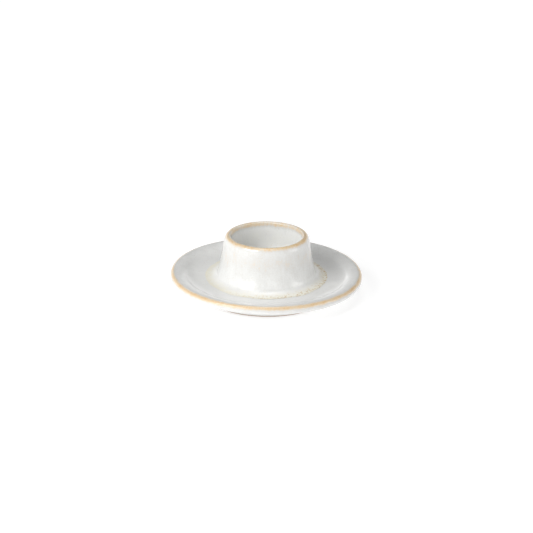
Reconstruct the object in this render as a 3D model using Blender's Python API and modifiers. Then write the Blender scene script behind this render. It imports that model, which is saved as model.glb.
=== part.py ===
"""Egg cup on its own saucer, in glazed stoneware.

A low cup with a tapering wall is luted with slip to the middle of a saucer, and both are dipped in a
pale glaze. The coat covers everything but the standing edge of the foot ring, and where it ran down the
cup it stands as a thick ring in the corner between the cup and the saucer.

Every piece is turned about the Z axis. An outline is a list of (radius, height) points that runs with
the clay on its right-hand side: out along a floor, up an inner wall, over a lip and down the outside.
The saucer's heights are counted from the surface that it stands on, and the cup's heights are counted
from the glazed floor of the saucer's well.
"""

import math

import bpy

MM = 0.001

# The saucer, measured over its glaze
SAUCER_RADIUS = 60.0 * MM
SAUCER_HEIGHT = 14.0 * MM
RIM_THICKNESS = 5.6 * MM
WELL_HEIGHT = 10.4 * MM
FOOT_RADIUS = 42.2 * MM
FOOT_WIDTH = 5.6 * MM
FOOT_HEIGHT = 4.0 * MM
RECESS_DEPTH = 3.8 * MM
FOOT_ROUNDING = 1.8 * MM

# The cup, measured over its glaze and above the well
CUP_HEIGHT = 27.6 * MM
CUP_FOOT_RADIUS = 31.9 * MM
CUP_MOUTH_RADIUS = 26.4 * MM
LIP_WIDTH = 3.9 * MM
LIP_ROUNDING = 1.5 * MM
BOWL_RADIUS = 20.0 * MM
BOWL_ROUNDING = 10.0 * MM
CUP_FLOOR = 3.5 * MM

# Slip and glaze
SLIP_THICKNESS = 0.7 * MM
SLIP_WIDTH = 10.0 * MM
SLIP_SETBACK = 1.0 * MM
GLAZE = 0.5 * MM
BARE_EDGE = 1.0 * MM
POOL_RISE = 3.4 * MM
POOL_SPREAD = 6.7 * MM

# Clearances: the pieces touch in the fired object, and here they keep this much apart
FIT_GAP = 0.3 * MM
COAT = GLAZE + FIT_GAP
POOL_RADIUS = CUP_FOOT_RADIUS + POOL_SPREAD
WELL_RADIUS = POOL_RADIUS + 1.5 * MM

FACETS = 48
ARC_STEP = math.radians(24)
CREASE = math.radians(35)
MERGE_DISTANCE = 0.01 * MM


def arc(centre, radius, start_deg, end_deg):
    """Points of an arc about (radius, height) centre, from one direction to another."""
    start, end = math.radians(start_deg), math.radians(end_deg)
    pieces = max(2, math.ceil(abs(end - start) / ARC_STEP))
    angles = [start + (end - start) * i / pieces for i in range(pieces + 1)]
    return [(centre[0] + radius * math.cos(a), centre[1] + radius * math.sin(a)) for a in angles]


def sweep(start, lead, follow, end, pieces=6):
    """Points of a cubic Bezier curve."""
    points = []
    for i in range(pieces + 1):
        t = i / pieces
        weights = ((1 - t) ** 3, 3 * t * (1 - t) ** 2, 3 * t * t * (1 - t), t ** 3)
        points.append(tuple(sum(w * p[k] for w, p in zip(weights, (start, lead, follow, end)))
                            for k in (0, 1)))
    return points


def rounded(*corners):
    """Points of an outline through (radius, height, rounding) corners; the two ends have no rounding."""
    points = [corners[0]]
    for before, corner, after in zip(corners, corners[1:], corners[2:]):
        arm_in = (before[0] - corner[0], before[1] - corner[1])
        arm_out = (after[0] - corner[0], after[1] - corner[1])
        length_in, length_out = math.hypot(*arm_in), math.hypot(*arm_out)
        turn = math.atan2(arm_in[1], arm_in[0]) - math.atan2(arm_out[1], arm_out[0])
        half = abs(math.remainder(turn, math.tau)) / 2
        room = 0.48 * min(length_in, length_out)
        radius = min(corner[2], room * math.tan(half))
        reach = radius / math.tan(half)
        first = [corner[k] + arm_in[k] * reach / length_in for k in (0, 1)]
        last = [corner[k] + arm_out[k] * reach / length_out for k in (0, 1)]
        middle = [(first[k] + last[k]) / 2 - corner[k] for k in (0, 1)]
        out = math.hypot(radius, reach) / math.hypot(*middle)
        centre = [corner[k] + middle[k] * out for k in (0, 1)]
        start = math.degrees(math.atan2(first[1] - centre[1], first[0] - centre[0]))
        end = math.degrees(math.atan2(last[1] - centre[1], last[0] - centre[0]))
        points += arc(centre, radius, start, start + math.remainder(end - start, 360))
    return points + [corners[-1]]


def inset(points, distance):
    """The outline moved into the clay by a distance."""
    aims = []
    for (r0, z0), (r1, z1) in zip(points, points[1:]):
        length = math.hypot(r1 - r0, z1 - z0)
        aims.append(((z1 - z0) / length, (r0 - r1) / length))
    moved = []
    for point, before, after in zip(points, aims[:1] + aims, aims + aims[-1:]):
        share = distance / (1 + before[0] * after[0] + before[1] * after[1])
        moved.append(tuple(point[k] + share * (before[k] + after[k]) for k in (0, 1)))
    return moved


def ended_at(points, height):
    """The outline with its last stretch made longer or shorter, so that it ends at a height."""
    (r0, z0), (r1, z1) = points[-2:]
    share = (height - z0) / (z1 - z0)
    return points[:-1] + [(r0 + share * (r1 - r0), height)]


def saucer_outline(start_radius):
    """Surface of the saucer: well, wing, rim, underside and the outside of the foot ring."""
    half_rim = RIM_THICKNESS / 2
    crest = SAUCER_RADIUS - half_rim
    run = crest - WELL_RADIUS
    wing = sweep((WELL_RADIUS, WELL_HEIGHT), (WELL_RADIUS + 0.45 * run, WELL_HEIGHT),
                 (crest - 0.25 * run, SAUCER_HEIGHT), (crest, SAUCER_HEIGHT))
    rim = arc((crest, SAUCER_HEIGHT - half_rim), half_rim, 90, -65)
    underside = rounded(rim[-1], (FOOT_RADIUS, FOOT_HEIGHT, FOOT_ROUNDING), (FOOT_RADIUS, 0))
    return [(start_radius, WELL_HEIGHT)] + wing + rim[1:] + underside[1:]


def recess_outline():
    """Surface inside the foot ring, from its inner side up to the middle of its ceiling."""
    inner = FOOT_RADIUS - FOOT_WIDTH
    return rounded((inner, 0), (inner, RECESS_DEPTH, FOOT_ROUNDING), (0, RECESS_DEPTH))


def slip_bottom():
    return FIT_GAP - COAT


def cup_base():
    return slip_bottom() + SLIP_THICKNESS + FIT_GAP


def cup_outline():
    """Surface of the cup: bowl, lip and the outer wall down to the well."""
    floor = cup_base() + CUP_FLOOR + COAT
    return rounded((0, floor), (BOWL_RADIUS, floor, BOWL_ROUNDING),
                   (CUP_MOUTH_RADIUS - LIP_WIDTH, CUP_HEIGHT, LIP_ROUNDING),
                   (CUP_MOUTH_RADIUS, CUP_HEIGHT, LIP_ROUNDING), (CUP_FOOT_RADIUS, 0))


def turned(name, points, material, height=0.0, closed=False):
    """An outline turned about the Z axis, as an object of its own that stands at a height."""
    count = len(points)
    edges = [(i, (i + 1) % count) for i in range(count if closed else count - 1)]
    mesh = bpy.data.meshes.new(name)
    mesh.from_pydata([(r, 0, z) for r, z in points], edges, [])
    mesh.materials.append(material)
    piece = bpy.data.objects.new(name, mesh)
    piece.location.z = height
    screw = piece.modifiers.new("turned", "SCREW")
    screw.steps = screw.render_steps = FACETS
    screw.use_merge_vertices = True
    screw.merge_threshold = MERGE_DISTANCE
    collection.objects.link(piece)
    piece.parent = stand
    return piece


def coated(name, points, material, height=0.0):
    """A coat of glaze: the turned surface, thickened into the clay."""
    piece = turned(name, points, material, height)
    coat = piece.modifiers.new("coat", "SOLIDIFY")
    coat.thickness = GLAZE
    coat.offset = -1
    coat.use_even_offset = True
    return piece


def settle(piece):
    """Gives a piece its turned shape as its own mesh, smooth on its curves and crisp at its edges."""
    mesh = bpy.data.meshes.new_from_object(piece.evaluated_get(bpy.context.evaluated_depsgraph_get()))
    mesh.name = piece.name
    mesh.shade_smooth()
    mesh.set_sharp_from_angle(angle=CREASE)
    piece.modifiers.clear()
    piece.data = mesh


def stoneware(name, colour, roughness):
    material = bpy.data.materials.new(name)
    material.use_nodes = True
    shader = material.node_tree.nodes["Principled BSDF"]
    shader.inputs["Base Color"].default_value = (*colour, 1)
    shader.inputs["Roughness"].default_value = roughness
    shader.inputs["Metallic"].default_value = 0
    material.diffuse_color = (*colour, 1)
    return material


def build_saucer():
    """The saucer's clay: a thick plate with a rolled rim, on a foot ring that is bare underneath."""
    outside = ended_at(inset(saucer_outline(0), COAT), 0)
    inside = inset(recess_outline(), COAT)
    turned("saucer", outside + inside, stoneware("saucer clay", (0.50, 0.36, 0.24), 0.85))


def build_saucer_glaze():
    skin = ended_at(saucer_outline(POOL_RADIUS + FIT_GAP), BARE_EDGE)
    coated("saucer_glaze", skin, stoneware("saucer glaze", (0.80, 0.79, 0.76), 0.25))


def build_foot_recess_glaze():
    skin = recess_outline()
    skin[0] = (skin[0][0], BARE_EDGE)
    coated("foot_recess_glaze", skin, stoneware("foot recess glaze", (0.78, 0.76, 0.72), 0.3))


def build_cup():
    """The cup's clay, with a solid floor and a flat base."""
    outside = ended_at(inset(cup_outline(), COAT), cup_base())
    turned("cup", outside + [(0, cup_base())], stoneware("cup clay", (0.50, 0.36, 0.24), 0.85), WELL_HEIGHT)


def build_luting_slip():
    """The ring of slip that joins the cup's scored base to the saucer."""
    outer = ended_at(inset(cup_outline(), COAT), cup_base())[-1][0] - SLIP_SETBACK
    inner = outer - SLIP_WIDTH
    top, bottom = slip_bottom() + SLIP_THICKNESS, slip_bottom()
    ring = [(inner, top), (outer, top), (outer, bottom), (inner, bottom)]
    turned("luting_slip", ring, stoneware("slip", (0.55, 0.42, 0.30), 0.9), WELL_HEIGHT, closed=True)


def build_cup_glaze():
    skin = ended_at(cup_outline(), POOL_RISE + FIT_GAP)
    coated("cup_glaze", skin, stoneware("cup glaze", (0.80, 0.79, 0.76), 0.25), WELL_HEIGHT)


def build_glaze_pool():
    """The thick ring of glaze in the corner, hollow towards the cup and the saucer alike."""
    top = ended_at(cup_outline(), POOL_RISE)[-1]
    corner = (CUP_FOOT_RADIUS, 0)
    rim = (POOL_RADIUS, 0)
    back = inset([top, corner, rim], GLAZE)
    ring = sweep(top, corner, corner, rim) + back[::-1]
    turned("glaze_pool", ring, stoneware("pooled glaze", (0.86, 0.80, 0.62), 0.15), WELL_HEIGHT, closed=True)


for old in list(bpy.data.objects):
    bpy.data.objects.remove(old, do_unlink=True)

collection = bpy.data.collections.new("egg_cup_on_saucer")
bpy.context.scene.collection.children.link(collection)
stand = bpy.data.objects.new("egg_cup_on_saucer", None)
collection.objects.link(stand)

build_saucer()
build_saucer_glaze()
build_foot_recess_glaze()
build_luting_slip()
build_cup()
build_cup_glaze()
build_glaze_pool()

bpy.context.view_layer.update()
for piece in collection.objects:
    if piece.type == "MESH":
        settle(piece)
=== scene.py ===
# %% [markdown]
# # An egg cup on its saucer, in glazed stoneware
#
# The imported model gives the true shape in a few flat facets: two bodies of clay, the slip between
# them, and the coats of glaze. This lesson takes its sizes from there and remakes what the eye sees: the
# soft unevenness of a piece that was shaped by hand, and a dipped glaze whose colour follows its depth.
# It turns honey brown where it ran thin over an edge, and cream where it gathered in a corner.

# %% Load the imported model
import math

import bmesh
import bpy
import numpy as np
from mathutils import Matrix, Vector, noise


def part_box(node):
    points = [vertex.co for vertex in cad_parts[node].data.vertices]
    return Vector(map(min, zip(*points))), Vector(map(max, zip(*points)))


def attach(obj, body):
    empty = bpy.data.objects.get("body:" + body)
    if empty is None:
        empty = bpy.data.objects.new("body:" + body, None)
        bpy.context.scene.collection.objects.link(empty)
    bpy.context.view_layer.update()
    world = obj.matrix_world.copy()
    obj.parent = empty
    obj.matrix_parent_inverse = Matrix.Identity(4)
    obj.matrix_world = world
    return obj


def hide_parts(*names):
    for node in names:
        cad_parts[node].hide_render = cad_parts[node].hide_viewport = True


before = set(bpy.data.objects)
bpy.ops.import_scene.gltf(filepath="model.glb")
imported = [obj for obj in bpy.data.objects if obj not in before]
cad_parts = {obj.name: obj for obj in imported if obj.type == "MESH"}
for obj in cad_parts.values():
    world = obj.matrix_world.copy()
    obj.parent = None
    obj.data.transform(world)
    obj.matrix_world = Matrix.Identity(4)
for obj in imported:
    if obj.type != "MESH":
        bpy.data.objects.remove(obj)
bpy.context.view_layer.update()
MM = 0.001
print("nodes:", sorted(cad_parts))

# %% [markdown]
# ## Measure the frame
#
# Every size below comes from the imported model. A box around a node gives its outermost sizes, and a ray
# shot at the node gives the surface at any other place. The rays run a hair beside the X axis, because
# one that runs exactly along it would meet the model on the line between two facets.

# %% Rays that meet the model
BESIDE_AXIS = 0.02 * MM


def meet(node, start, direction):
    """The point where a ray first meets a node of the model."""
    found, place, _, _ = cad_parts[node].ray_cast(Vector(start), Vector(direction))
    if not found:
        raise ValueError(f"no surface of {node} in the way of a ray from {start}")
    return place


def top_at(node, radius):
    return meet(node, (radius, BESIDE_AXIS, 1), (0, 0, -1)).z


def underside_at(node, radius):
    return meet(node, (radius, BESIDE_AXIS, -1), (0, 0, 1)).z


def outside_at(node, height):
    return meet(node, (1, BESIDE_AXIS, height), (-1, 0, 0)).x


def inside_at(node, height):
    return meet(node, (0, BESIDE_AXIS, height), (1, 0, 0)).x


# %% Sizes of the saucer
saucer_radius, _, saucer_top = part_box("saucer_glaze")[1]
bare_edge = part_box("saucer_glaze")[0].z
pool_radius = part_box("glaze_pool")[1].x
well = top_at("saucer_glaze", pool_radius + MM)
foot_radius = outside_at("saucer_glaze", bare_edge + 0.5 * MM)
clay_foot_outer = outside_at("saucer", 0.5 * bare_edge)
clay_foot_inner = inside_at("saucer", 0.5 * bare_edge)
recess_radius = inside_at("foot_recess_glaze", bare_edge + 0.2 * MM)
recess_ceiling = underside_at("foot_recess_glaze", 5 * MM)
glaze_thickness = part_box("foot_recess_glaze")[1].z - recess_ceiling
print(f"saucer {2000 * saucer_radius:.1f} mm across, rim {1000 * saucer_top:.1f} mm and well "
      f"{1000 * well:.1f} mm above the table, glaze {1000 * glaze_thickness:.2f} mm thick")

# %% Sizes of the cup
cup_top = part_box("cup_glaze")[1].z
bowl_floor = top_at("cup_glaze", 2 * MM)


def line_through(measure, node, low, high):
    """A straight stretch of the model as a function: from a height to a radius, or the other way round."""
    first, second = measure(node, low), measure(node, high)
    return lambda place: first + (place - low) * (second - first) / (high - low)


outer_wall = line_through(outside_at, "cup_glaze", well + 8 * MM, cup_top - 5 * MM)
inner_wall = line_through(inside_at, "cup_glaze", bowl_floor + 12 * MM, cup_top - 5 * MM)
plate_underside = line_through(underside_at, "saucer_glaze", foot_radius + 4 * MM, saucer_radius - 6 * MM)
pool_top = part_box("glaze_pool")[1].z
print(f"cup {2000 * outer_wall(cup_top):.1f} mm across its mouth and {2000 * outer_wall(well):.1f} mm at its "
      f"foot, {1000 * (cup_top - bowl_floor):.1f} mm deep")

# %% [markdown]
# ## Outlines
#
# Cup and saucer are both round, so each surface is one outline turned about the Z axis. An outline runs
# with the clay on its right-hand side. Corners are rounded with a short quadratic curve, and the whole
# line is then cut into even steps, so that its points are evenly spaced and a rounded corner is smooth.

# %% Draw an outline
STEP = 0.4 * MM
ROUNDING_POINTS = 25


def run_along(outline):
    """The distance travelled along an outline at each of its points."""
    return np.concatenate([[0], np.cumsum(np.linalg.norm(np.diff(outline, axis=0), axis=1))])


def trace(*corners, step=STEP):
    """Even points along straight lines through corners, which are (radius, height, reach) from the second on.

    A corner is rounded from its reach before it to its reach after it, which is a fourth number
    where the two differ.
    """
    path = [np.array(corners[0][:2])]
    for before, corner, after in zip(corners, corners[1:], corners[2:]):
        here = np.array(corner[:2])
        arms = [np.array(other[:2]) - here for other in (before, after)]
        reaches = (corner[2], corner[-1])
        lead, tail = [here + reach * arm / np.linalg.norm(arm) for reach, arm in zip(reaches, arms)]
        for t in np.linspace(0, 1, ROUNDING_POINTS):
            path.append((1 - t) ** 2 * lead + 2 * t * (1 - t) * here + t ** 2 * tail)
    path.append(np.array(corners[-1][:2]))
    path = np.array(path)
    run = run_along(path)
    even = np.linspace(0, run[-1], max(2, round(run[-1] / step)) + 1)
    return np.stack([np.interp(even, run, path[:, k]) for k in (0, 1)], axis=1)


def outward(outline):
    """The unit direction out of the clay at each point of an outline."""
    along = np.gradient(outline, axis=0)
    along /= np.linalg.norm(along, axis=1)[:, None]
    return np.stack([-along[:, 1], along[:, 0]], axis=1)


# %% [markdown]
# ## How thick the glaze lies
#
# A dipped glaze is liquid for a while in the kiln, and it flows. It draws back from a sharp edge and
# runs a little way down from it, and it gathers in corners. Each coat therefore keeps a number for
# every point of its outline: the depth of the glaze there, in millimetres. In a few places on the cup
# and saucer the number is raised or lowered only to make the coat lighter or darker, which is painted
# light and shade. It is stored on the mesh as an attribute, and the material turns it into colour. This
# costs no extra geometry, and the colour stays on the edge however the outline changes.

# %% Depth of glaze along an outline
DIPPED = 0.5


def nearness(outline, place, spread):
    """1 at the point of an outline nearest to a place, falling softly to 0 at about twice the spread."""
    run = run_along(outline)
    nearest = np.argmin(np.linalg.norm(outline - np.array(place), axis=1))
    return np.exp(-np.abs((run - run[nearest]) / spread) ** 2.5)


def glaze_depth_and_painted_light(outline, thin=(), thick=()):
    """Depth of the fired glaze in millimetres: (place, spread, amount) says where it runs thinner or gathers.

    Some entries only make the coat lighter or darker there, as painted light and shade.
    """
    depth = np.full(len(outline), DIPPED)
    for place, spread, amount in thick:
        depth += amount * nearness(outline, place, spread)
    for place, spread, share in thin:
        depth *= 1 - share * nearness(outline, place, spread)
    return depth


# %% [markdown]
# ## The hand in it
#
# A pot from the wheel or the mould is never quite true. The saucer's rim dips a little on one side and
# is slightly oval, the lip of the cup wanders by a tenth of a millimetre, and the glaze lies in very
# soft waves that bend every reflection. The warp moves whole sections, but never the foot, which stands
# flat. The waves push the surface in and out along its own direction. Nothing here is drawn at random,
# so the piece is the same each time.

# %% Warp and waves
RIM_DIP, RIM_OVAL, RIM_RIPPLE = 0.45 * MM, 0.10 * MM, 0.10 * MM
LIP_WANDER, LIP_OVAL = 0.14 * MM, 0.10 * MM
WAVE_HEIGHT, WAVE_LENGTH = 0.045 * MM, 9 * MM
FINER, ELSEWHERE = 2.3, Vector((7, 3, 5))


def smooth_step(value):
    """From 0 to 1 without a kink at either end."""
    share = min(max(value, 0), 1)
    return share * share * (3 - 2 * share)


def warp_saucer(radius, height, angle):
    share = smooth_step((radius - foot_radius) / (saucer_radius - foot_radius))
    radius = radius + share * RIM_OVAL * math.cos(2 * angle + 0.9)
    height = height - share * (RIM_DIP * math.cos(angle) + RIM_RIPPLE * math.cos(3 * angle + 1.1))
    return radius, height


def warp_cup(radius, height, angle):
    share = max(0, (height - well) / (cup_top - well))
    height = height + share * LIP_WANDER * (0.6 * math.sin(angle + 2.4) + 0.4 * math.cos(3 * angle))
    radius = radius + share * LIP_OVAL * math.cos(2 * angle - 0.5)
    return radius, height


def wave(x, y, z):
    place = Vector((x, y, z)) / WAVE_LENGTH
    return WAVE_HEIGHT * (noise.noise(place) + 0.4 * noise.noise(place * FINER + ELSEWHERE))


# %% [markdown]
# ## Turn a surface
#
# Blender's Screw modifier would turn an outline too, but it gives every section the same shape. Here
# each section is placed by a short loop instead, so that the warp and the waves can be different at
# every angle and the depth of the glaze can be written on the points as they are made. A coat of glaze
# gets a back as well, a fixed thickness inside its face, so that it is a skin and not a bare sheet.

# %% Turn a closed section
TURNS = 256
ON_AXIS = 0.001 * MM


def still(radius, height, angle):
    return radius, height


def turned_mesh(name, section, push, warp):
    """A mesh of one section, given point by point, turned about the Z axis with waves and warp."""
    places = []
    for turn_index in range(TURNS):
        angle = math.tau * turn_index / TURNS
        for (radius, height), (push_r, push_z) in zip(section, push):
            amount = wave(radius * math.cos(angle), radius * math.sin(angle), height)
            radius, height = warp(radius + amount * push_r, height + amount * push_z, angle)
            places.append((radius * math.cos(angle), radius * math.sin(angle), height))
    count = len(section)
    on_axis = section[:, 0] < ON_AXIS
    faces = []
    for turn_index in range(TURNS):
        here, there = turn_index * count, (turn_index + 1) % TURNS * count
        for i in range(count):
            j = (i + 1) % count
            if not (on_axis[i] and on_axis[j]):
                faces.append((here + i, here + j, there + j, there + i))
    mesh = bpy.data.meshes.new(name)
    mesh.from_pydata(places, [], faces)
    return mesh


# %% Make a piece of it
SHARP = math.radians(50)


def close_axis(mesh):
    """Joins the points that meet on the axis, which leaves triangles round it.

    Known fault: warp_cup moves those points apart, so the cup's clay and its coat each keep a hole
    about 0.03 mm wide at the middle of the bowl. Every other piece is closed.
    """
    work = bmesh.new()
    work.from_mesh(mesh)
    bmesh.ops.remove_doubles(work, verts=work.verts, dist=ON_AXIS)
    work.to_mesh(mesh)
    work.free()


def turned_piece(name, face, back, warp=still, depth=DIPPED):
    """A piece turned from two outlines: a visible face, and the back that it hides."""
    section = np.concatenate([face, back[::-1]])
    push = np.concatenate([outward(face), np.zeros_like(back)])
    depths = np.concatenate([np.broadcast_to(depth, len(face)), np.full(len(back), DIPPED)])
    mesh = turned_mesh(name, section, push, warp)
    # The depth written here also carries the painted light and shade of the cup's and saucer's coats.
    mesh.attributes.new("glaze_depth_and_painted_light", "FLOAT", "POINT").data.foreach_set("value", np.tile(depths, TURNS))
    close_axis(mesh)
    mesh.shade_smooth()
    mesh.set_sharp_from_angle(angle=SHARP)
    piece = bpy.data.objects.new(name, mesh)
    bpy.context.scene.collection.objects.link(piece)
    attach(piece, "root")
    print(f"{name}: {len(mesh.polygons)} faces")
    return piece


# %% The back of a coat
BACK_STEP = 3


def behind(face, thickness):
    """A plainer outline, a fixed thickness inside the clay side of a face."""
    kept = sorted({*range(0, len(face), BACK_STEP), len(face) - 1})
    moved = (face - thickness * outward(face))[kept]
    moved[face[kept][:, 0] < ON_AXIS, 0] = 0
    return moved


# %% [markdown]
# ## The glaze on the saucer
#
# The coat starts under the pooled ring, crosses the level well, climbs the wing in a shallow S, rolls
# over the thick rim and comes back underneath to the foot ring, where the potter wiped it off so that
# the saucer wouldn't stick to the kiln shelf.

# %% Saucer outline
RIM_ROLL = 2.8 * MM
WING_FOOT, WING_CREST = 47.8 * MM, 52.9 * MM
UNDER_POOL = 3 * MM

rim_low = plate_underside(saucer_radius)
saucer_face = trace(
    (outer_wall(well) + UNDER_POOL, well),
    (WING_FOOT, well, 7.7 * MM, 3.1 * MM),
    (WING_CREST, saucer_top, 3.1 * MM, 4.2 * MM),
    (saucer_radius, saucer_top, RIM_ROLL),
    (saucer_radius, rim_low, 2.2 * MM),
    (foot_radius, plate_underside(foot_radius), 1.6 * MM),
    (foot_radius, bare_edge),
)

# %% Saucer coat
rim_edge = (saucer_radius - 0.9 * MM, saucer_top - 0.9 * MM)
rim_face = (saucer_radius, 0.5 * (saucer_top + rim_low))
# Thicker coat from the cup across the well and wing: partly gathered glaze, partly painted light on the level
# top.
saucer_depth_and_painted_light = glaze_depth_and_painted_light(saucer_face, thick=[(saucer_face[0], 26 * MM, 0.65), (rim_face, 9 * MM, 0.12)],
                           thin=[(rim_edge, 2.5 * MM, 0.77)])
print(f"glaze on the saucer: {saucer_depth_and_painted_light.min():.2f} to {saucer_depth_and_painted_light.max():.2f} mm deep")
saucer_glaze = turned_piece("saucer_glaze_coat", saucer_face, behind(saucer_face, glaze_thickness),
                            warp_saucer, saucer_depth_and_painted_light)
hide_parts("saucer_glaze")

# %% [markdown]
# ## The glaze on the cup
#
# One coat runs from the middle of the bowl, up the inner wall, over the lip and down the outside. The
# lip turns over in a short rounding on the bowl's side and a longer one outside, so the glaze breaks
# twice and leaves a pale band between two honey lines. The outer wall isn't dead straight: it is drawn
# in slightly below the middle, and flares towards the foot.

# %% Cup outline
BOWL_CORNER = 20 * MM
LIP_INSIDE, LIP_TOP_OUT, LIP_OUTSIDE = 1.0 * MM, 2.9 * MM, 4.0 * MM
WALL_WAIST, LIP_WAIST = 0.75 * MM, 0.45 * MM
FLARE, FLARE_HEIGHT = 0.5 * MM, 9 * MM
UNDER_POOL_TOP = 2.2 * MM


def waist(height):
    """How far the outer wall is drawn in at a height. It is less than nothing at the foot, which flares."""
    share = np.clip((height - well) / (cup_top - well), 0, 1)
    drawn_in = WALL_WAIST * np.sin(math.pi * share ** 0.55) + LIP_WAIST * share ** 2
    return drawn_in - FLARE * np.clip(1 - (height - well) / FLARE_HEIGHT, 0, 1) ** 2


cup_face = trace(
    (0, bowl_floor),
    (BOWL_CORNER, bowl_floor, 9 * MM),
    (inner_wall(cup_top), cup_top, LIP_INSIDE),
    (outer_wall(cup_top), cup_top, LIP_TOP_OUT, LIP_OUTSIDE),
    (outer_wall(pool_top - UNDER_POOL_TOP), pool_top - UNDER_POOL_TOP),
)
# nothing in the bowl, growing across the lip to the whole amount outside
over_lip = np.clip((cup_face[:, 0] - inner_wall(cup_top) - LIP_INSIDE) / LIP_TOP_OUT, 0, 1)
cup_face[:, 0] -= over_lip * waist(cup_face[:, 1])

# %% Cup coat
lip_outside = (outer_wall(cup_top) - 1.9 * MM, cup_top - 0.4 * MM)
lip_inside = (inner_wall(cup_top), cup_top - 1.5 * MM)
bowl_middle, wall_middle = 0.5 * (bowl_floor + cup_top), 0.5 * (well + cup_top)
bowl_wall = (inner_wall(bowl_middle), bowl_middle)
outer_middle = (outer_wall(wall_middle), wall_middle)
# Half way up the bowl's inner wall the thicker coat is painted light only, which lightens the whole bowl.
# Thicker, lighter coat at the outer wall's foot and on the bowl's floor: partly gathered glaze, partly
# painted light.
gathered_and_painted_light = [(cup_face[-1], 11 * MM, 0.5), (cup_face[0], 30 * MM, 0.7), (bowl_wall, 11 * MM, 0.6)]
# Thinner coat at both lips for the honey lines, and round the outer wall's middle as painted shade.
thinned_and_painted_shade = [(lip_outside, 2.2 * MM, 0.68), (lip_inside, 1.9 * MM, 0.68), (outer_middle, 11 * MM, 0.20)]
cup_depth_and_painted_light = glaze_depth_and_painted_light(cup_face, thinned_and_painted_shade, gathered_and_painted_light)
print(f"glaze on the cup: {cup_depth_and_painted_light.min():.2f} to {cup_depth_and_painted_light.max():.2f} mm deep")
cup_glaze = turned_piece("cup_glaze_coat", cup_face, behind(cup_face, glaze_thickness), warp_cup, cup_depth_and_painted_light)
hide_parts("cup_glaze")

# %% [markdown]
# The clay of the cup lies a fixed gap behind the coat, so it is made from the coat's own outline. That
# keeps it inside wherever the wall is drawn in. Its base is level, and stands on the ring of slip.

# %% Cup clay
FIT_GAP = 0.3 * MM
clay_gap = glaze_thickness + FIT_GAP
clay_low, clay_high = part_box("cup")
cup_clay_base = np.array([(0, clay_low.z), (clay_high.x, clay_low.z)])
cup_clay = turned_piece("cup_clay_body", behind(cup_face, clay_gap), cup_clay_base, warp_cup)
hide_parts("cup")

# %% [markdown]
# ## The pooled ring
#
# What ran down the cup stands in the corner as a thick, hollow-faced ring. Its inner edge thins out on
# the wall, and its outer edge stops on the well with a small blunt step that wanders in and out. It is
# its own piece, laid over the other two coats, because its colour and its depth are its own.

# %% Pool outline
POOL_EDGE, POOL_START = 0.15 * MM, 3.0 * MM
SUNK, SEATED = 0.06 * MM, 0.4 * MM
POOL_STEP, SEAT_STEP = 0.25 * MM, 0.6 * MM


def wall_at(height):
    return outer_wall(height) - waist(height)


pool_start = well + POOL_START
pool_corner = (wall_at(well) - 0.1 * MM, well + 0.1 * MM)
pool_face = trace(
    (wall_at(pool_start) - SUNK, pool_start),
    (*pool_corner, 2.9 * MM, 6.6 * MM),
    (pool_radius - 0.2 * MM, well + POOL_EDGE, 0.2 * MM),
    (pool_radius, well - SUNK),
    step=POOL_STEP,
)
pool_seat = trace(
    (wall_at(pool_start) - 0.5 * MM, pool_start),
    (outer_wall(well) - 0.9 * MM, well - SEATED, 0.5 * MM),
    (pool_radius - 0.4 * MM, well - SEATED),
    step=SEAT_STEP,
)

# %% Pooled ring
POOL_FILM, POOL_DEEPEST = 0.95, 2.2
LOBE_SIZE, LOBE_SHRINK = 1.1 * MM, 0.45 * MM
WIDE_LOBES, NARROW_LOBES = 2.1, 6


def warp_pool(radius, height, angle):
    """Lets the outer edge wander in and out in soft lobes, and leaves the inner edge on the wall."""
    share = smooth_step((radius - outer_wall(well)) / (pool_radius - outer_wall(well)))
    around = Vector((math.cos(angle), math.sin(angle), 0))
    lobes = noise.noise(WIDE_LOBES * around + Vector((0, 0, 4)))
    lobes += 0.5 * noise.noise(NARROW_LOBES * around + Vector((0, 0, 1)))
    return radius + share * (LOBE_SIZE * lobes - LOBE_SHRINK), height


across = np.linspace(0, 1, len(pool_face))
pool_depth = POOL_FILM + (POOL_DEEPEST - POOL_FILM) * across ** 1.5
glaze_pool = turned_piece("pooled_glaze_ring", pool_face, pool_seat, warp_pool, pool_depth)
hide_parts("glaze_pool")

# %% [markdown]
# ## Under the foot
#
# The recess inside the foot ring is glazed as well. The clay shows only on the ring's standing edge,
# which is why the saucer's whole clay body is remade here: its edge is softened with a wet sponge
# before firing, and that small rounding catches the light all the way round.

# %% Recess coat
recess_face = trace(
    (recess_radius, bare_edge),
    (recess_radius, recess_ceiling, 1.2 * MM),
    (0, recess_ceiling),
)
recess_glaze = turned_piece("foot_recess_glaze_coat", recess_face, behind(recess_face, glaze_thickness))
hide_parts("foot_recess_glaze")

# %% Saucer clay
SPONGED = 0.6 * MM
clay_rim = saucer_radius - clay_gap
clay_top, clay_ceiling = well - clay_gap, recess_ceiling + clay_gap
clay_upper = trace(
    (0, clay_top),
    (WING_FOOT, clay_top, 7.7 * MM, 3.1 * MM),
    (WING_CREST, saucer_top - clay_gap, 3.1 * MM),
    (clay_rim, saucer_top - clay_gap, 2 * MM),
    (clay_rim, rim_low + 1.5 * clay_gap),
)
clay_under = trace(
    (0, clay_ceiling),
    (clay_foot_inner, clay_ceiling, 1.2 * MM),
    (clay_foot_inner, 0, SPONGED),
    (clay_foot_outer, 0, SPONGED),
    (clay_foot_outer, plate_underside(clay_foot_outer) + clay_gap, 1.6 * MM),
    (clay_rim, rim_low + clay_gap, 0.3 * MM),
    (clay_rim, rim_low + 1.4 * clay_gap),
)
saucer_clay = turned_piece("saucer_clay_body", clay_upper, clay_under, warp_saucer)
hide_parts("saucer")

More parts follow.
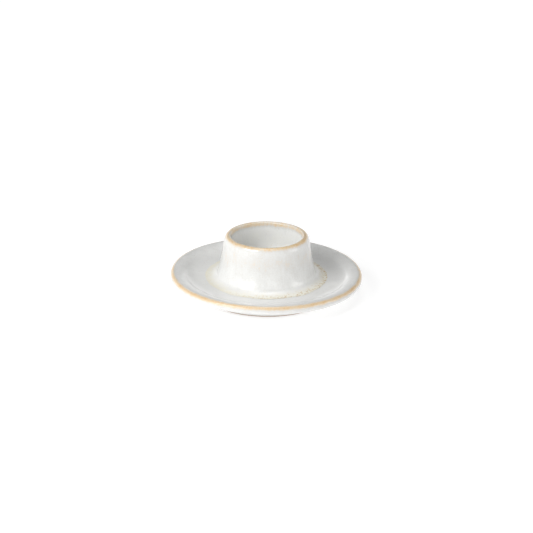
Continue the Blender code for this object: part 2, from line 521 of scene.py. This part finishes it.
# %% [markdown]
# ## Materials
#
# Each finish is a small graph of nodes around one Principled shader. A few helpers keep the graphs
# short: one adds a node and plugs in what it is given, and the others do sums, mix two colours, read a
# ramp and make noise. Numbers that are the same all over a surface go straight on the shader's own
# sockets.

# %% Helpers for node graphs


def new_material(name, **shader_values):
    material = bpy.data.materials.new(name)
    material.use_nodes = True
    shader = material.node_tree.nodes["Principled BSDF"]
    for socket, value in shader_values.items():
        shader.inputs[socket.replace("_", " ")].default_value = value
    print("material:", name)
    return material, material.node_tree, shader


def add(tree, kind, plugs=None, **settings):
    """Adds a node, sets it up, and plugs a link or a plain value into each named or numbered socket."""
    made = tree.nodes.new("ShaderNode" + kind)
    for setting, value in settings.items():
        setattr(made, setting, value)
    for socket, value in (plugs or {}).items():
        if isinstance(value, bpy.types.NodeSocket):
            tree.links.new(value, made.inputs[socket])
        else:
            made.inputs[socket].default_value = value
    return made


def maths(tree, operation, first, second):
    return add(tree, "Math", {0: first, 1: second}, operation=operation).outputs[0]


def mixed(tree, share, first, second):
    """One colour laid over another."""
    made = add(tree, "Mix", {0: share, 6: first, 7: second}, data_type="RGBA")
    return made.outputs[2]


def ramp(tree, value, stops):
    """A colour ramp with (place, colour) stops."""
    made = add(tree, "ValToRGB", {0: value})
    elements = made.color_ramp.elements
    while len(elements) < len(stops):
        elements.new(0.5)
    for element, (place, colour) in zip(elements, stops):
        element.position = place
        element.color = (*colour, 1)
    return made.outputs[0]


def mottle(tree, place, patch, detail=2.0, low=-0.5, high=0.5):
    """Smooth noise between two values, in patches of about this size."""
    cloud = add(tree, "TexNoise", {"Vector": place, "Scale": 1 / patch, "Detail": detail})
    return add(tree, "MapRange", {"Value": cloud.outputs[0], "From Min": 0.25, "From Max": 0.75,
                                  "To Min": low, "To Max": high}).outputs[0]


# %% [markdown]
# ### The dipped glaze
#
# The colour comes from one ramp that reads the depth of the coat: bare toasted clay under the thinnest
# film, then honey, then the warm off-white of a full coat, and cream where it is thick. Noise makes the
# depth uneven before the ramp reads it, so the honey line swells, thins and breaks up as it would in
# the kiln, instead of following the edge like a painted stripe.

# %% Colours by depth
GLASS_IOR = 1.52
DEPTH_RANGE = 2.4
DEPTH_COLOURS = [
    (0.00, (0.420, 0.220, 0.080)),
    (0.10, (0.600, 0.380, 0.180)),
    (0.17, (0.700, 0.500, 0.290)),
    (0.25, (0.735, 0.600, 0.425)),
    (0.33, (0.720, 0.665, 0.590)),
    (0.42, (0.690, 0.683, 0.660)),
    (0.60, (0.738, 0.738, 0.722)),
    (1.00, (0.820, 0.822, 0.810)),
    (1.50, (0.845, 0.847, 0.822)),
    (2.30, (0.870, 0.862, 0.795)),
]


def glaze_colour(tree, place, streaks=0.0):
    """Off-white, honey or cream by the depth of the glaze and the painted light carried in it, made uneven by
    noise.
    """
    depth = add(tree, "Attribute", attribute_name="glaze_depth_and_painted_light").outputs["Fac"]
    uneven = maths(tree, "ADD", 1.0, mottle(tree, place, 6 * MM, 3, -0.22, 0.22))
    uneven = maths(tree, "ADD", uneven, mottle(tree, place, 0.9 * MM, 3, -0.19, 0.19))
    if streaks:
        drawn = add(tree, "Mapping", {"Vector": place, "Scale": (1, 1, 0.12)}).outputs[0]
        uneven = maths(tree, "ADD", uneven, mottle(tree, drawn, 1.6 * MM, 3, -streaks, streaks))
    depth = maths(tree, "MULTIPLY", depth, uneven)
    stops = [(mm / DEPTH_RANGE, colour) for mm, colour in DEPTH_COLOURS]
    return ramp(tree, maths(tree, "DIVIDE", depth, DEPTH_RANGE), stops)


# %% [markdown]
# Stoneware clay holds grains of iron. A few of them melt through the glaze as brown specks, about half
# a millimetre wide, and many more only stain it as faint freckles. A Voronoi texture scatters both:
# each cell has a random colour, and only the cells over a threshold show their dot.

# %% Iron specks and freckles
SPECKS = {"cell": 3.6 * MM, "rarity": 0.93, "size": 0.09, "strength": 0.6}
FRECKLES = {"cell": 1.1 * MM, "rarity": 0.6, "size": 0.35, "strength": 0.2}
SPECK_COLOUR = (0.22, 0.12, 0.055, 1)
FRECKLE_COLOUR = (0.60, 0.47, 0.33, 1)


def dots(tree, place, cell, rarity, size, strength):
    """How much of a dot shows, up to this strength. Its size is a share of the cell, and only rare cells
    have one."""
    cells = add(tree, "TexVoronoi", {"Vector": place, "Scale": 1 / cell})
    chosen = maths(tree, "GREATER_THAN", cells.outputs["Color"], rarity)
    dot = add(tree, "MapRange", {"Value": cells.outputs["Distance"], "From Min": size, "From Max": 0.4 * size,
                                 "To Min": 0.0, "To Max": strength}).outputs[0]
    return maths(tree, "MULTIPLY", chosen, dot)


def speckled(tree, place, colour):
    """Lays many faint freckles and a few dark iron specks over a colour."""
    freckled = mixed(tree, dots(tree, place, **FRECKLES), colour, FRECKLE_COLOUR)
    return mixed(tree, dots(tree, place, **SPECKS), freckled, SPECK_COLOUR)


# %% [markdown]
# The surface itself is glass. It is glossy, with a fine orange peel that only shows where a light is
# reflected, and small changes in gloss; the saucer's coat is a little duller than the cup's. The bump is
# kept very low, because the soft waves in the mesh already bend the large reflections.

# %% Dipped glaze material
def dipped_glaze(name, gloss, streaks=0.0):
    material, tree, shader = new_material(name, IOR=GLASS_IOR)
    place = add(tree, "TexCoord").outputs["Object"]
    colour = speckled(tree, place, glaze_colour(tree, place, streaks))
    tree.links.new(colour, shader.inputs["Base Color"])
    tree.links.new(mottle(tree, place, 11 * MM, 2, *gloss), shader.inputs["Roughness"])
    peel = add(tree, "Bump", {"Strength": 0.35, "Distance": 0.04 * MM,
                              "Height": mottle(tree, place, 1.1 * MM, 2, 0.0, 1.0)})
    tree.links.new(peel.outputs[0], shader.inputs["Normal"])
    return material


SAUCER_GLOSS, CUP_GLOSS = (0.16, 0.27), (0.02, 0.05)
saucer_glaze.data.materials.append(dipped_glaze("saucer_off_white_glaze", SAUCER_GLOSS))
cup_glaze.data.materials.append(dipped_glaze("cup_off_white_glaze", CUP_GLOSS, streaks=0.14))
recess_glaze.data.materials.append(dipped_glaze("recess_off_white_glaze", SAUCER_GLOSS))

# %% [markdown]
# ### The pooled glaze
#
# Thick glaze isn't one colour. It is cream in the corner and turns to pale straw towards its outer
# edge, where amber crystals gather in broken patches, most of them on one side. Both bands follow the
# ring's own radius, and noise decides where they are strong, where they are faint and how far they
# stray. The many small crystals also leave this glaze duller than the thin coat above it.

# %% Pooled glaze material
AMBER = (0.56, 0.37, 0.15, 1)
STRAW = (0.86, 0.82, 0.66, 1)
AMBER_SIDE = (0.75, -0.25, 0)
STRAW_WIDTH, AMBER_WIDTH = 7.5 * MM, 5.5 * MM
POOL_ROUGHNESS = 0.26


def outer_band(tree, place, width, stray_size, stray):
    """1 at the ring's outer edge, falling to 0 this far inside it, with an edge that strays."""
    flat = add(tree, "Mapping", {"Vector": place, "Scale": (1, 1, 0)}).outputs[0]
    radius = add(tree, "VectorMath", {0: flat}, operation="LENGTH").outputs["Value"]
    strayed = maths(tree, "ADD", radius, mottle(tree, place, stray_size, 3, -stray, stray))
    return add(tree, "MapRange", {"Value": strayed, "From Min": pool_radius - width,
                                  "From Max": pool_radius - 0.3 * width}).outputs[0]


def crystals(tree, place, size, low, high):
    """Small soft grains: noise cut off below, so that only its peaks are left."""
    return add(tree, "Clamp", {0: mottle(tree, place, size, 3, low, high)}).outputs[0]


def pooled_glaze(name):
    material, tree, shader = new_material(name, IOR=GLASS_IOR, Roughness=POOL_ROUGHNESS)
    place = add(tree, "TexCoord").outputs["Object"]
    straw = maths(tree, "MULTIPLY", outer_band(tree, place, STRAW_WIDTH, 4 * MM, 1.0 * MM),
                  mottle(tree, place, 1.4 * MM, 3, 0.2, 0.8))
    colour = mixed(tree, straw, glaze_colour(tree, place), STRAW)
    side = add(tree, "VectorMath", {0: place, 1: AMBER_SIDE}, operation="DOT_PRODUCT").outputs["Value"]
    on_side = add(tree, "MapRange", {"Value": side, "From Min": -10 * MM, "From Max": 24 * MM,
                                     "To Min": 0.12}).outputs[0]
    amber = maths(tree, "MULTIPLY", outer_band(tree, place, AMBER_WIDTH, 3 * MM, 1.5 * MM),
                  crystals(tree, place, 1.1 * MM, -1.1, 1.3))
    colour = mixed(tree, maths(tree, "MULTIPLY", amber, on_side), colour, AMBER)
    tree.links.new(colour, shader.inputs["Base Color"])
    peel = add(tree, "Bump", {"Strength": 0.25, "Distance": 0.05 * MM,
                              "Height": mottle(tree, place, 1.6 * MM, 2, 0.0, 1.0)})
    tree.links.new(peel.outputs[0], shader.inputs["Normal"])
    return material


glaze_pool.data.materials.append(pooled_glaze("pooled_cream_glaze"))

# %% [markdown]
# ### Bare clay and slip
#
# Fired stoneware is matt and toasted brown, with darker and paler grains. It shows only on the standing
# edge of the foot ring, but the cup's clay and the slip inside carry the same finish, because whoever
# cuts the model open should find clay in it.

# %% Clay materials
TOASTED = [(0.0, (0.17, 0.095, 0.055)), (0.45, (0.30, 0.185, 0.11)), (1.0, (0.44, 0.31, 0.20))]
SLIP_TONES = [(0.0, (0.33, 0.22, 0.14)), (1.0, (0.50, 0.38, 0.27))]


def bare_clay(name, tones):
    material, tree, shader = new_material(name, Roughness=0.88)
    place = add(tree, "TexCoord").outputs["Object"]
    grain = mottle(tree, place, 0.8 * MM, 4, 0.0, 1.0)
    colour = mixed(tree, dots(tree, place, 2 * MM, 0.6, 0.16, 0.8), ramp(tree, grain, tones), SPECK_COLOUR)
    tree.links.new(colour, shader.inputs["Base Color"])
    tooth = add(tree, "Bump", {"Strength": 0.6, "Distance": 0.15 * MM, "Height": grain})
    tree.links.new(tooth.outputs[0], shader.inputs["Normal"])
    return material


saucer_clay.data.materials.append(bare_clay("toasted_saucer_clay", TOASTED))
cup_clay.data.materials.append(bare_clay("toasted_cup_clay", TOASTED))
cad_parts["luting_slip"].material_slots[0].material = bare_clay("fired_slip", SLIP_TONES)

# %% [markdown]
# ## The studio
#
# The cup and saucer stand on a white surface that glows a little, as a sheet of lit acrylic does, so
# that light also comes from below and the underside of the rim stays bright. The surface glows more
# away from the middle, where the lamps no longer reach it, and it curves up far away on all sides. That
# keeps the background clean from most heights.

# %% White surface
GLOW_NEAR, GLOW_FAR = 0.68, 0.88
NEAR, FAR = 0.12, 0.70  # metres from the middle
SURFACE_WHITE = 0.43
SURFACE_RADIUS, SURFACE_BEND, SURFACE_HEIGHT = 6.0, 1.0, 1.6
SURFACE_TURNS = 96

bend_angles = np.linspace(-math.pi / 2, 0, 13)
bend_middle = SURFACE_RADIUS - SURFACE_BEND
line = [(0, 0)]
for angle in bend_angles:
    line.append((bend_middle + SURFACE_BEND * math.cos(angle), SURFACE_BEND * (1 + math.sin(angle))))
line.append((SURFACE_RADIUS, SURFACE_HEIGHT))

work = bmesh.new()
points = [work.verts.new((radius, 0, height)) for radius, height in line]
edges = [work.edges.new(pair) for pair in zip(points, points[1:])]
bmesh.ops.spin(work, geom=points + edges, cent=(0, 0, 0), axis=(0, 0, 1), angle=math.tau,
               steps=SURFACE_TURNS, use_merge=True)
bmesh.ops.remove_doubles(work, verts=work.verts, dist=MM)
bmesh.ops.recalc_face_normals(work, faces=work.faces)
surface_mesh = bpy.data.meshes.new("white_surface")
work.to_mesh(surface_mesh)
work.free()
surface_mesh.shade_smooth()
surface = bpy.data.objects.new("white_surface", surface_mesh)
bpy.context.scene.collection.objects.link(surface)
surface_paint, tree, shader = new_material("lit_white_surface", Base_Color=(SURFACE_WHITE,) * 3 + (1,),
                                           Roughness=0.7, Emission_Color=(1, 1, 1, 1))
distance = add(tree, "VectorMath", {0: add(tree, "TexCoord").outputs["Object"]}, operation="LENGTH")
glow = add(tree, "MapRange", {"Value": distance.outputs["Value"], "From Min": NEAR, "From Max": FAR,
                              "To Min": GLOW_NEAR, "To Max": GLOW_FAR})
tree.links.new(glow.outputs[0], shader.inputs["Emission Strength"])
surface_mesh.materials.append(surface_paint)
print(f"surface {2 * SURFACE_RADIUS:.0f} m across, {len(surface_mesh.polygons)} faces")

# %% [markdown]
# A softbox stands to the left of the camera, high enough to look into the bowl. It gives the bright left
# wall and the shadow behind on the right. The dimmer panel below it is reflected as the square
# highlight near the cup's foot. A panel overhead lights the level surfaces, and a weak one on the right
# opens the shadows. The room itself is nearly dark, which keeps the glaze's reflections clean.

# %% Panels
LOOK_AT = Vector((0, 0, 16.5 * MM))
PANEL_DISTANCE = 0.9
PANELS = {  # name: (width, height, power, turn from the front, elevation)
    "softbox": (0.56, 0.30, 5.0, math.radians(-45.5), math.radians(36)),
    "low_softbox": (0.64, 0.25, 1.0, math.radians(-45.5), math.radians(9)),
    "overhead": (0.50, 0.50, 2.9, 0.0, math.radians(89)),
    "right_fill": (0.50, 0.40, 1.5, math.radians(75), math.radians(14)),
}
ROOM = (0.07, 0.07, 0.07, 1)


def stand(item, turn, elevation, distance, roll=0.0):
    """Places a camera or a light around the cup and aims it at the middle; turn 0 is the front."""
    level = math.cos(elevation)
    away = Vector((math.sin(turn) * level, -math.cos(turn) * level, math.sin(elevation)))
    item.location = LOOK_AT + distance * away
    aim = away.to_track_quat("Z", "Y").to_matrix() @ Matrix.Rotation(roll, 3, "Z")
    item.rotation_euler = aim.to_euler()
    bpy.context.scene.collection.objects.link(item)


for name, (width, height, power, turn, elevation) in PANELS.items():
    panel = bpy.data.lights.new(name, "AREA")
    panel.shape = "RECTANGLE"
    panel.size, panel.size_y = width, height
    panel.energy = power
    stand(bpy.data.objects.new(name, panel), turn, elevation, PANEL_DISTANCE)
    print(f"{name}: {power} W")

room = bpy.data.worlds.new("room")
room.use_nodes = True
room.node_tree.nodes["Background"].inputs["Color"].default_value = ROOM
bpy.context.scene.world = room
bpy.context.scene.view_settings.view_transform = "Standard"

# %% Camera
CAMERA_ELEVATION = math.radians(21.83)
CAMERA_DISTANCE = 1.0
CAMERA_LENS, CAMERA_SENSOR = 107.5, 36
CAMERA_ROLL = math.radians(0.6)

camera = bpy.data.cameras.new("camera")
camera.lens, camera.sensor_width = CAMERA_LENS, CAMERA_SENSOR
camera_stand = bpy.data.objects.new("camera", camera)
stand(camera_stand, 0, CAMERA_ELEVATION, CAMERA_DISTANCE, CAMERA_ROLL)
bpy.context.scene.camera = camera_stand
